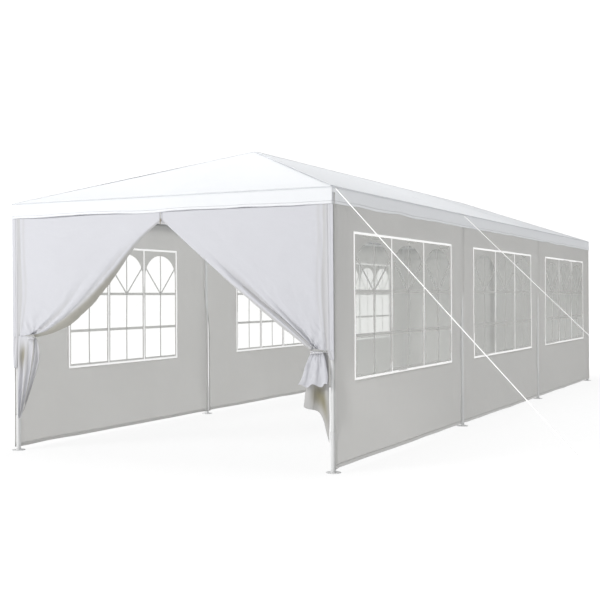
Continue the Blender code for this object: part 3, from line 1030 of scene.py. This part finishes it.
def make_window(word, side, bay):
    wide, shift = window_of(word)
    middle = (BAYS.index(bay) - 1) * BAY + shift
    light_w, half = wide / LIGHTS, wide / 2
    bm = bmesh.new()
    for i in range(LIGHTS):
        flat_light(bm, (i - (LIGHTS - 1) / 2) * light_w, light_w)
    bend_to_wall(bm, side, middle, BAR_PROUD)
    lattice = keep(f"window_bars_{word}_{bay}", bm, [WALL_CLOTH], (), smooth=False)
    thicken(lattice, BAR_THICK)

    bm = bmesh.new()
    for z in (0, TALL):
        flat_bar(bm, (-half - TAPE_W / 2, z), (half + TAPE_W / 2, z), TAPE_W, 30)
    for i in range(LIGHTS + 1):
        x = -half + i * light_w
        flat_bar(bm, (x, 0), (x, TALL), TAPE_W * (1 if i in (0, LIGHTS) else 0.8), 14)
    bend_to_wall(bm, side, middle, 0.0)
    tape = keep(f"window_tape_{word}_{bay}", bm, [TAPE_WHITE], (), smooth=False)
    thicken(tape, TAPE_THICK)

    size = (wide + 2 * FILM_EDGE, TALL + 2 * FILM_EDGE)

    def film_place(u, v):
        y = middle + (u - 0.5) * size[0]
        z = SILL - FILM_EDGE + v * size[1]
        return hang(side, y, z, BAR_PROUD + 0.0003 * ripple(y, z, 50, 4.0))

    film = hang_cloth(f"window_film_{word}_{bay}", 40, 20, size, film_place, FILM,
                      f"window_film_{word}", 0)


for word, side in SIDES.items():
    for bay in BAYS:
        make_window(word, side, bay)

# %% [markdown]
# ## Back wall
# The far end is closed by a door wall like the front one, with its zip shut. It is one sheet with a
# hem at its foot and a seam where its header would be. The zip is two tapes side by side down the
# middle, with a row of coil teeth over the place where they meet.

# %% Back wall
back_low, back_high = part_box("back_wall")
SIDE_GAP = 0.004
back_size = (back_high.x - back_low.x, back_high.z - back_low.z)


def back_point(u, v):
    x = back_low.x + SIDE_GAP + u * (back_size[0] - 2 * SIDE_GAP)
    z = back_low.z + v * back_size[1]
    free = smoothstep(0, 0.2, min(u, 1 - u)) * smoothstep(0.0, 0.1, 1 - v)
    sway = 0.007 * ripple(x, z, 60, 1.1) * free + 0.004 * ripple(x, z * 0.3, 61, 3.4) * free
    corner = min(abs(x - LEG_X), abs(x + LEG_X))
    over_leg = math.exp(-(corner / 0.024) ** 2) * 0.010
    zip_pull = 0.004 * math.exp(-abs(x) / 0.10) * math.sin(z * 30)
    hem = 0.006 * ripple(x, 0, 63, 2.1) * smoothstep(0.08, 0.0, v)
    return Vector((x, back_low.y - 0.006 + over_leg + sway + zip_pull, z + hem))


back_wall = hang_cloth("back_door_wall", 110, 70, back_size, back_point, WALL_CLOTH, "back_wall")

# %% Hem, zip and seam of the back wall
BACK_HEM_LONG = back_size[0] - 0.02
ZIP_TALL = header_low.z - back_low.z
ZIP_TAPE_AT, COIL_W, COIL_HIGH, COILS = 0.016, 0.006, 0.0012, 300


def on_back(x, up, proud):
    """A point beside the back wall: x across, up above its foot and proud of its cloth."""
    u = (x - back_low.x - SIDE_GAP) / (back_size[0] - 2 * SIDE_GAP)
    return back_point(u, up / back_size[1]) + Vector((0, proud, 0))


def back_hem(u, v):
    return on_back((v - 0.5) * BACK_HEM_LONG, 0.002 + u * HEM_H, 0.001)


def back_seam(u, v):
    return on_back((v - 0.5) * BACK_HEM_LONG, ZIP_TALL + (u - 0.5) * BAND_W, 0.0016)


def back_coil(u, v):
    tooth = abs(math.sin(v * COILS * math.pi / 2))
    return on_back((u - 0.5) * COIL_W, 0.004 + v * ZIP_TALL, 0.0022 + COIL_HIGH * tooth)


lay_band("back_hem", BAND_W, back_size[0], 100, back_hem, WALL_BAND)
for word, side in SIDES.items():
    def zip_tape(u, v):
        return on_back(side * ZIP_TAPE_AT + (u - 0.5) * BAND_W, 0.003 + v * ZIP_TALL, 0.0014)

    lay_band(f"back_zip_tape_{word}", BAND_W, ZIP_TALL, 100, zip_tape, WALL_BAND)
lay_band("back_header_seam", BAND_W, back_size[0], 100, back_seam, WALL_BAND)
bm = bmesh.new()
lay_grid(bm, 4, COILS, (COIL_W, ZIP_TALL), back_coil)
keep("back_zip_teeth", bm, [ZIP_COIL], ())
print("back wall hung")

# %% [markdown]
# ## Door wall: header and zip
# Above the opening the door wall is a plain strip. The zip runs up into it, and its slider is left at
# the top when the two halves are opened. The slider is a block with rounded edges and a pull tab.


# %% Header
DOOR_Y = header_low.y - 0.002
HEADER_LAP = 0.012
header_size = (header_high.x - header_low.x, header_high.z - header_low.z + HEADER_LAP)


def header_point(u, v):
    x = header_low.x + SIDE_GAP + u * (header_size[0] - 2 * SIDE_GAP)
    z = header_low.z - HEADER_LAP + v * header_size[1]
    pull = 0.004 * ripple(x, z, 70, 3.0) * smoothstep(0.0, 0.3, 1 - v)
    return Vector((x, header_low.y + 0.001 + pull, z))


header = hang_cloth("header_strip", 80, 8, header_size, header_point, DOOR_CLOTH, "door_header")

# %% Zip slider and teeth
SLIDER = Vector((0.008, DOOR_Y - 0.012, header_low.z))
SLIDER_SIZE, TAB_SIZE = (0.013, 0.009, 0.022), (0.009, 0.002, 0.028)
PIN_HALF, PIN_R = 0.006, 0.0022
FRONT_ZIP_TALL, FRONT_COIL_W = 0.07, 0.005


def add_block(bm, centre, size, round_by):
    place = Matrix.Translation(centre) @ Matrix.Diagonal((*size, 1))
    made = bmesh.ops.create_cube(bm, size=1, matrix=place)
    edges = list(dict.fromkeys(e for v in made["verts"] for e in v.link_edges))
    bmesh.ops.bevel(bm, geom=edges, offset=round_by, segments=2, profile=0.5, affect="EDGES",
                    material=-1)


def front_coil(u, v):
    tooth = 0.0014 * abs(math.sin(v * 60))
    return Vector((SLIDER.x + (u - 0.5) * FRONT_COIL_W, DOOR_Y - 0.0095 - tooth,
                   header_low.z + v * FRONT_ZIP_TALL))


bm = bmesh.new()
add_block(bm, SLIDER + Vector((0, 0, 0.006)), SLIDER_SIZE, 0.002)
add_block(bm, SLIDER + Vector((0, -0.006, -0.010)), TAB_SIZE, 0.0009)
pin = SLIDER + Vector((0, -0.004, 0.004))
pin_end = Vector((PIN_HALF, 0, 0))
add_tube(bm, pin - pin_end, pin + pin_end, PIN_R, 10)
keep("zip_slider", bm, [ZIP_METAL], ())
bm = bmesh.new()
lay_grid(bm, 2, 60, (COIL_W, FRONT_ZIP_TALL), front_coil)
keep("zip_teeth", bm, [ZIP_COIL], ())
print("header strip hung")

# %% [markdown]
# ## Door wall: the two halves
# Each half is a rectangle of cloth, hung from the header and strapped round its leg, and its free
# edge has been pulled aside and tied. What shows is a fan: threads that were upright now run from the
# header to the tie. Near the leg the cloth stays smooth, apart from the sleeve that is drawn round
# the leg. Towards the free edge there is too much of it, so it packs into folds that run with the
# edge and get deeper near the tie, and the last of it rolls under.
# A simulation would decide the outline by itself, and the outline is what is known here, so the cloth
# is laid from given curves: a point is blended between the leg and the edge curve, folds are added by
# how tightly the cloth is packed, and the roll is wound on behind the edge.

# %% Curtain shape
SLEEVE_IN = LEG_X - 0.030
SLEEVE_SHARE = 0.14
SLEEVE_ROUND = 0.0235
WRAP_TO = LEG_X + 0.0232
COAT = 0.004
FOLDS_FROM = 0.40
UNDER_VALANCE = 1.4
HIGHEST = -0.05


def down(v):
    """From a grid's v, 1 at its top, to how far down the curtain: just under 0 to 1 at the tie."""
    return (1 - HIGHEST) * (1 - v) + HIGHEST


def bezier(points, t):
    a, b, c, d = (Vector(p) for p in points)
    s = 1 - t
    return a * s**3 + b * 3 * s * s * t + c * 3 * s * t * t + d * t**3


def ridged(x, y, seed, scale):
    return 1 - abs(2 * ripple(x, y, seed, scale))


def sleeve_out(x):
    """How far the cloth stands in front of the door's plane where it goes round the leg; x is
    measured towards that leg's side."""
    bulge = math.sqrt(max(0.0, SLEEVE_ROUND**2 - (x - LEG_X)**2))
    return bulge - LEG_Y[0] + DOOR_Y


class Curtain:
    """One half of the door. edge is the free edge's curve from the header to the tie, roll the roll's
    radius at its ends, at its thickest and at the tie, wound how many degrees the cloth is rolled up,
    folds and depth how many folds run beside it and how deep, and dark how strongly painted shade
    darkens the roll's underside."""

    def __init__(self, side, edge, roll, wound, folds, depth, dark, seed):
        self.side, self.edge, self.roll, self.wound, self.folds = side, edge, roll, wound, folds
        self.depth, self.dark, self.seed = depth, dark, seed
        self.top, self.tie = Vector(edge[0]), Vector(edge[-1])

    def edge_at(self, t):
        if t < 0:
            return Vector((self.top.x, self.top.y - t * UNDER_VALANCE))
        return bezier(self.edge, t)

    def outward(self, t):
        """Unit vector in the door's plane, square to the edge and towards the opening."""
        t = max(0.0, t)
        way = bezier(self.edge, min(1, t + 0.01)) - bezier(self.edge, max(0, t - 0.01))
        way.normalize()
        normal = Vector((way.y, -way.x))
        return normal if normal.x * self.side < 0 else -normal

    def roll_radius(self, t):
        thin, thick, end = self.roll
        swell = math.sin(math.pi * min(1.0, max(0.0, t) * 0.66 + 0.02)) ** 1.4
        body = thin + (thick - thin) * swell
        return body + (end - body) * smoothstep(0.80, 1.0, t)

    def fold(self, share, t):
        """Folds that run with the edge: share is how near the edge, from 0 to 1."""
        if share < FOLDS_FROM:
            return 0.0
        near = (share - FOLDS_FROM) / (1 - FOLDS_FROM)
        starts = 0.85 * (1 - near)
        grow = smoothstep(starts, starts + 0.45, t)
        sway = 0.10 * ripple(t * 3, near * 2, self.seed + 2)
        wave = math.sin(math.tau * self.folds * (near + sway))
        sharp = math.copysign(abs(wave) ** 0.65, wave)
        return self.depth * grow * sharp

    def front_point(self, across, t):
        """across goes from round the leg (0) to the start of the roll (1); t from the header (0)
        to the tie (1), and a little below 0 for the part under the valance."""
        side = self.side
        drop = min(1.0, max(0.0, t))
        z_leg = self.top.y + drop * (self.tie.y - self.top.y) + max(0.0, -t) * UNDER_VALANCE
        if across < SLEEVE_SHARE:
            part = across / SLEEVE_SHARE
            x = WRAP_TO - part * (WRAP_TO - SLEEVE_IN)
            fold = 0.004 * math.sin(part * 15 + 3 * drop) * smoothstep(0.25, 0.6, part)
            return Vector((side * x, DOOR_Y - max(COAT, sleeve_out(x)) - fold * 0.5 - 0.001, z_leg))
        share = (across - SLEEVE_SHARE) / (1 - SLEEVE_SHARE)
        leg = Vector((side * SLEEVE_IN, z_leg))
        inner = self.edge_at(t) - self.outward(t) * self.roll_radius(t)
        packed = share ** (1 - 0.34 * smoothstep(0, 0.7, t))
        p = leg.lerp(inner, packed)
        from_leg = SLEEVE_IN - side * p.x
        from_edge = (inner - p).length
        from_tie = (self.tie - p).length
        out = self.fold(share, t)
        beside_leg = math.exp(-from_leg / 0.035) * smoothstep(0, 0.15, drop)
        out += 0.0055 * math.sin(from_leg * 120 + 4 * drop) * beside_leg
        out += 0.010 * math.sin(math.pi * share) * math.sin(math.pi * min(1, drop * 1.1))
        busy = 0.35 + 1.2 * math.exp(-from_edge / 0.16) + 1.3 * math.exp(-from_tie / 0.20)
        busy *= smoothstep(-0.02, 0.12, t)
        out += 0.0030 * busy * ripple(p.x, p.y, self.seed + 1, 5.0)
        out += 0.0020 * busy * (ridged(p.x + p.y, p.y * 0.7, self.seed + 3, 7.0) - 0.5)
        crumple = ridged(p.x, p.y + p.x * 0.5, self.seed + 8, 16.0) - 0.5
        out += 0.0075 * math.exp(-((from_tie - 0.09) / 0.09) ** 2) * crumple
        angle = math.atan2(p.y - self.tie.y, (p.x - self.tie.x) * side)
        out += 0.010 * math.exp(-from_tie / 0.10) * math.sin(angle * 9)
        out -= 0.006 * smoothstep(0.5, 0.0, from_leg / 0.05) * drop
        return Vector((p.x, DOOR_Y - COAT - max(-0.016, out) * smoothstep(-0.03, 0.05, t), p.y))

    def roll_point(self, wind, t):
        """wind goes round the roll, from its front (0) to the end of the cloth (1)."""
        radius = self.roll_radius(t)
        start = self.front_point(1.0, t)
        angle = wind * math.radians(self.wound)
        out = self.outward(t)
        ruck = 0.16 * ripple(t * 8, wind * 3, self.seed + 4)
        ruck += 0.07 * ripple(t * 34, wind * 5, self.seed + 5)
        reach = radius * (1 - 0.36 * wind) * (1 + ruck * smoothstep(0.0, 0.08, wind))
        sideways = Vector((out.x, 0, out.y)) * math.sin(angle) * reach
        forward = Vector((0, math.cos(angle) * reach, 0))
        return Vector((start.x, start.y + radius, start.z)) + sideways - forward

    def roll_painted_shade(self, wind, t):
        """Painted shade on the roll's underside, which lies in shadow: it shows from a few degrees
        round the roll, and nearer the tie from the roll's very front."""
        under_from = 18 - 42 * smoothstep(0.30, 0.80, t)
        turned = smoothstep(under_from, under_from + 46, wind * self.wound)
        return self.dark * turned * (0.40 + 0.60 * smoothstep(0.1, 0.5, t))

    def front_painted_shade(self, across, t):
        """Painted shade: a little of the darker colour in the hollows between folds, towards the
        sleeve's inner edge and in two creases by the leg.
        """
        share = (across - SLEEVE_SHARE) / (1 - SLEEVE_SHARE)
        if share < 0:
            return 0.16 * smoothstep(0.3, 1.0, across / SLEEVE_SHARE)
        hollow = smoothstep(0.1, -1.0, self.fold(share, t) / self.depth)
        creases = 0.30 * math.exp(-((share - 0.012) / 0.007) ** 2)
        creases += 0.12 * math.exp(-((share - 0.045) / 0.010) ** 2)
        return 0.18 * hollow + creases


# The second last number of each half is how strongly painted shade darkens its roll's underside.
left_curtain = Curtain(-1, [(-0.002, 1.835), (-0.42, 1.62), (-0.68, 0.98), (-1.235, 0.935)],
                       (0.012, 0.056, 0.024), 1080, 1.6, 0.010, 0.62, 80)
right_curtain = Curtain(1, [(0.018, 1.835), (0.46, 1.47), (0.90, 1.10), (1.275, 0.865)],
                        (0.010, 0.031, 0.020), 1900, 2.4, 0.014, 0.26, 90)
print("edge lengths:", [round((c.top - c.tie).length, 2) for c in (left_curtain, right_curtain)])

# %% [markdown]
# ### Tails
# Below the tie the cloth springs open again. On the left it is drawn back to the leg and strapped
# there, so its hem runs up slantwise. On the right the outer layer flares like a bell, and the rest
# hangs behind it in its own shade and sweeps back to the foot of the leg. The tails' shade is also
# painted into their colour, darkest in the hollows and just below the tie.


# %% Curtain pieces
TAIL_CUT = (0.35, 0.40)
GATHERS = 7.5


def tail_grid(bm, curtain, first, second, pleats, depth, back, painted_shade, flare=0.0, arch=0.0):
    """A pleated tail between two boundary curves that run from the tie (v = 0) to the hem (v = 1).
    flare throws the hem forward and gathers the cloth under the tie, arch lifts the hem's middle."""
    def place(u, v):
        p = bezier(first, v).lerp(bezier(second, v), u)
        swell = depth * (0.30 * flare + smoothstep(0, 0.5, v) * (1 - 0.30 * flare))
        sway = 0.11 * ripple(v * 2, u * 3, curtain.seed + 6)
        wave = math.sin(math.tau * pleats * (u + sway) + 0.6)
        gather = math.sin(math.tau * GATHERS * u + 1) * math.exp(-v / 0.30)
        out = swell * math.copysign(abs(wave) ** 0.7, wave)
        out += 0.006 * ripple(u * 4, v * 5, curtain.seed + 7) * smoothstep(0, 0.2, v)
        out += flare * (0.03 * v + 0.006 * gather + 0.012 * v**8)
        hem = 0.014 * wave * smoothstep(0.70, 1.0, v) * flare
        hem += arch * math.sin(math.pi * u**1.35) * v * v
        return Vector((p.x, DOOR_Y + back - out, p.y + hem))

    return lay_grid(bm, 80, 60, TAIL_CUT, place, painted_shade=painted_shade)


def sleeve_grid(bm, curtain, z_top, z_low):
    """The sleeve goes on round the leg below the tie and ends in a point."""
    def place(u, v):
        z = z_top + (z_low - z_top) * v
        x = WRAP_TO - (0.052 - 0.018 * v) * u
        out = max(COAT * 0.5, sleeve_out(x)) + 0.001 + 0.002 * math.sin(u * 9 + v * 4)
        return Vector((curtain.side * x, DOOR_Y - out, z))

    # Painted shade on the sleeve, darker towards its inner edge.
    return lay_grid(bm, 16, 30, (0.1, 0.3), place, painted_shade=lambda u, v: 0.18 * u)


def make_curtain(name, curtain, node, tails, sleeve_low):
    bm = bmesh.new()
    faces = lay_grid(bm, 150, 130, (1.40, 1.5), lambda u, v: curtain.front_point(u, down(v)),
                     painted_shade=lambda u, v: curtain.front_painted_shade(u, down(v)))
    faces += lay_grid(bm, 110, 130, (0.5, 1.5), lambda u, v: curtain.roll_point(u, down(v)),
                      painted_shade=lambda u, v: curtain.roll_painted_shade(u, down(v)))
    if curtain.side > 0:
        bmesh.ops.reverse_faces(bm, faces=faces)
    sleeve = sleeve_grid(bm, curtain, curtain.tie.y, sleeve_low)
    if curtain.side < 0:
        bmesh.ops.reverse_faces(bm, faces=sleeve)
    for tail in tails:
        bmesh.ops.reverse_faces(bm, faces=tail_grid(bm, curtain, *tail))
    bmesh.ops.remove_doubles(bm, verts=bm.verts, dist=0.0003)
    piece = keep(name, bm, [DOOR_CLOTH], [node], sharp=80)
    return thicken(piece, 0.0012)


# Painted shade for the tails: how far each tail's cloth turns to its darker colour where it lies in
# shadow.
def bell_shade(u, v):
    return 0.12 * smoothstep(0.25, 0.0, v)


def left_shade(u, v):
    patch = math.exp(-((u - 0.30) / 0.20) ** 2 - ((v - 0.30) / 0.14) ** 2)
    line = math.exp(-((u - 0.62) / 0.05) ** 2) * smoothstep(0.0, 0.2, v)
    edge = smoothstep(0.90, 1.0, u)
    return 0.06 + 0.75 * patch + 0.20 * line + 0.3 * edge


def loop_shade(u, v):
    return 0.10 + 0.40 * math.exp(-((u - 0.85) / 0.12) ** 2)


def hollow_shade(u, v):
    oval = math.exp(-((u - 0.60) / 0.34) ** 4 - ((v - 0.66) / 0.20) ** 2)
    return 0.32 + 0.60 * oval


left_tails = [
    ([(-1.394, 0.945), (-1.396, 0.80), (-1.398, 0.50), (-1.392, 0.27)],
     [(-1.236, 0.938), (-1.225, 0.80), (-1.28, 0.56), (-1.378, 0.27)],
     2.0, 0.012, -0.004, left_shade),
    ([(-1.246, 0.930), (-1.232, 0.86), (-1.240, 0.70), (-1.33, 0.42)],
     [(-1.228, 0.932), (-1.135, 0.84), (-1.195, 0.68), (-1.372, 0.30)],
     1.0, 0.012, 0.014, loop_shade),
]
right_tails = [
    ([(1.285, 0.862), (1.235, 0.80), (1.225, 0.70), (1.186, 0.612)],
     [(1.360, 0.862), (1.400, 0.80), (1.412, 0.70), (1.416, 0.625)],
     2.3, 0.0075, -0.008, bell_shade, 0.85),
    ([(1.30, 0.85), (1.24, 0.72), (1.215, 0.60), (1.203, 0.462)],
     [(1.39, 0.85), (1.412, 0.6), (1.405, 0.40), (1.404, 0.215)],
     1.2, 0.016, 0.020, hollow_shade, 0.0, 0.095),
]
left_half = make_curtain("curtain_left", left_curtain, "door_half_left", left_tails, 0.68)
right_half = make_curtain("curtain_right", right_curtain, "door_half_right", right_tails, 0.80)
for half in (left_half, right_half):
    print(half.name, "area", round(sum(p.area for p in half.data.polygons), 2))

# %% [markdown]
# ## Ties
# A short cord holds each half. It passes twice round the gathered cloth, is drawn up in a small bow
# and runs back to the leg. Each turn is a thin tube on a ring, and the bow's loops are two more rings,
# pinched flat.


# %% Ties
CORD = 0.0032


def add_ring(bm, centre, wide, deep, thick, lean=0.0, turn_by=None):
    """A cord ring: wide across the door, deep through it, tilted by lean along its width."""
    def place(u, v):
        around, about = v * math.tau, u * math.tau
        reach = 1 + thick / wide * math.cos(about)
        p = Vector((wide * reach * math.cos(around), deep * reach * math.sin(around),
                    thick * math.sin(about) + lean * math.cos(around)))
        if turn_by:
            p = turn_by @ p
        return Vector(centre) + p

    return lay_grid(bm, 8, 48, (0.02, 0.3), place)


def make_tie(name, curtain, node, wide, bow):
    """wide is half the width of the gathered cloth that the cord goes round, and bow lists the
    bow's loops as (tilt in degrees, half length)."""
    low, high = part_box(node)
    lift = (low.z + high.z) / 2
    centre = Vector((curtain.tie.x + curtain.side * wide * 0.8, DOOR_Y - 0.006, lift))
    bm = bmesh.new()
    add_ring(bm, centre, wide, 0.024, 0.0034, 0.004)
    add_ring(bm, centre + Vector((0, 0, 0.007)), wide * 1.02, 0.025, CORD, -0.003)
    post = Vector((curtain.side * (LEG_X - TUBE_R), LEG_Y[0], lift + 0.004))
    add_tube(bm, centre + Vector((0, 0.024, 0)), post, CORD, 10, 0)
    knot = centre + Vector((-curtain.side * wide * 0.2, -0.028, 0.003))
    bmesh.ops.create_uvsphere(bm, u_segments=16, v_segments=10, radius=0.0060,
                              matrix=Matrix.Translation(knot) @ Matrix.Diagonal((1.2, 0.8, 1, 1)))
    upright = Matrix.Rotation(math.radians(90), 3, "X")
    for tilt, size in bow:
        spun = Matrix.Rotation(math.radians(tilt), 3, "Y") @ upright
        way = spun @ Vector((1, 0, 0))
        add_ring(bm, knot + way * size, size, size * 0.38, CORD * 0.75, 0, spun)
    bmesh.ops.remove_doubles(bm, verts=bm.verts, dist=0.0002)
    bmesh.ops.recalc_face_normals(bm, faces=bm.faces)
    keep(name, bm, [TIE_TAPE], [node])


make_tie("tie_left", left_curtain, "tie_back_left", 0.030, [(40, 0.012), (140, 0.011)])
make_tie("tie_right", right_curtain, "tie_back_right", 0.050, [(-85, 0.020), (60, 0.012)])
print("ties knotted")

# %% [markdown]
# ## Guy ropes and stakes
# Each rope is three twisted strands, pulled tight from the eave to a steel stake. A grid wrapped into
# a tube gives the rope: its radius bulges three times in a turn, and the bulges wind along it. The
# stake leans away from the tent and has a hook at its top.

# %% Ropes
STRAND_TURN = 0.045
ROPE_R = 0.0035
ROPE_STEP = 0.006
STAKE_R = 0.0045
STAKE_LEAN = 0.035
STAKE_TALL = 0.09


def add_rope(bm, start, end):
    way = (end - start).normalized()
    side = way.orthogonal().normalized()
    up = way.cross(side)
    length = (end - start).length

    def place(u, v):
        angle = u * math.tau
        run = v * length
        twist = math.tau * run / STRAND_TURN
        bulge = ROPE_R * (0.86 + 0.14 * abs(math.cos(1.5 * (angle - twist))))
        droop = Vector((0, 0, -0.006 * math.sin(math.pi * v)))
        return start + way * run + droop + (side * math.cos(angle) + up * math.sin(angle)) * bulge

    lay_grid(bm, 12, int(length / ROPE_STEP), (math.tau * ROPE_R, length), place)


def make_guy(row, word, side, y):
    low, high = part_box(f"guy_rope_{row}_{word}")
    foot = Vector((side * (max(abs(low.x), abs(high.x)) - STAKE_LEAN - STAKE_R), y, 0))
    start = Vector((side * (cover_high.x + 0.004), y, EAVE_Z - 0.018))
    lean = Vector((side * STAKE_LEAN, 0, STAKE_TALL))
    hitch = foot + lean / 2
    bm = bmesh.new()
    add_rope(bm, start, hitch)
    bmesh.ops.remove_doubles(bm, verts=bm.verts, dist=0.0001)
    bmesh.ops.recalc_face_normals(bm, faces=bm.faces)
    keep(f"rope_{row}_{word}", bm, [ROPE_CORD], [f"guy_rope_{row}_{word}"])
    bm = bmesh.new()
    hook = foot + lean * 0.93
    add_tube(bm, foot, foot + lean, STAKE_R, 16, 0.0012)
    add_tube(bm, hook, hook + Vector((-side * 0.022, 0, 0.004)), STAKE_R, 16, 0.0015)
    keep(f"stake_{row}_{word}", bm, [STAKE_STEEL], [f"guy_rope_{row}_{word}"])


for word, side in SIDES.items():
    for row, y in (("front", LEG_Y[0]), ("second", LEG_Y[1]), ("back", LEG_Y[-1])):
        make_guy(row, word, side, y)
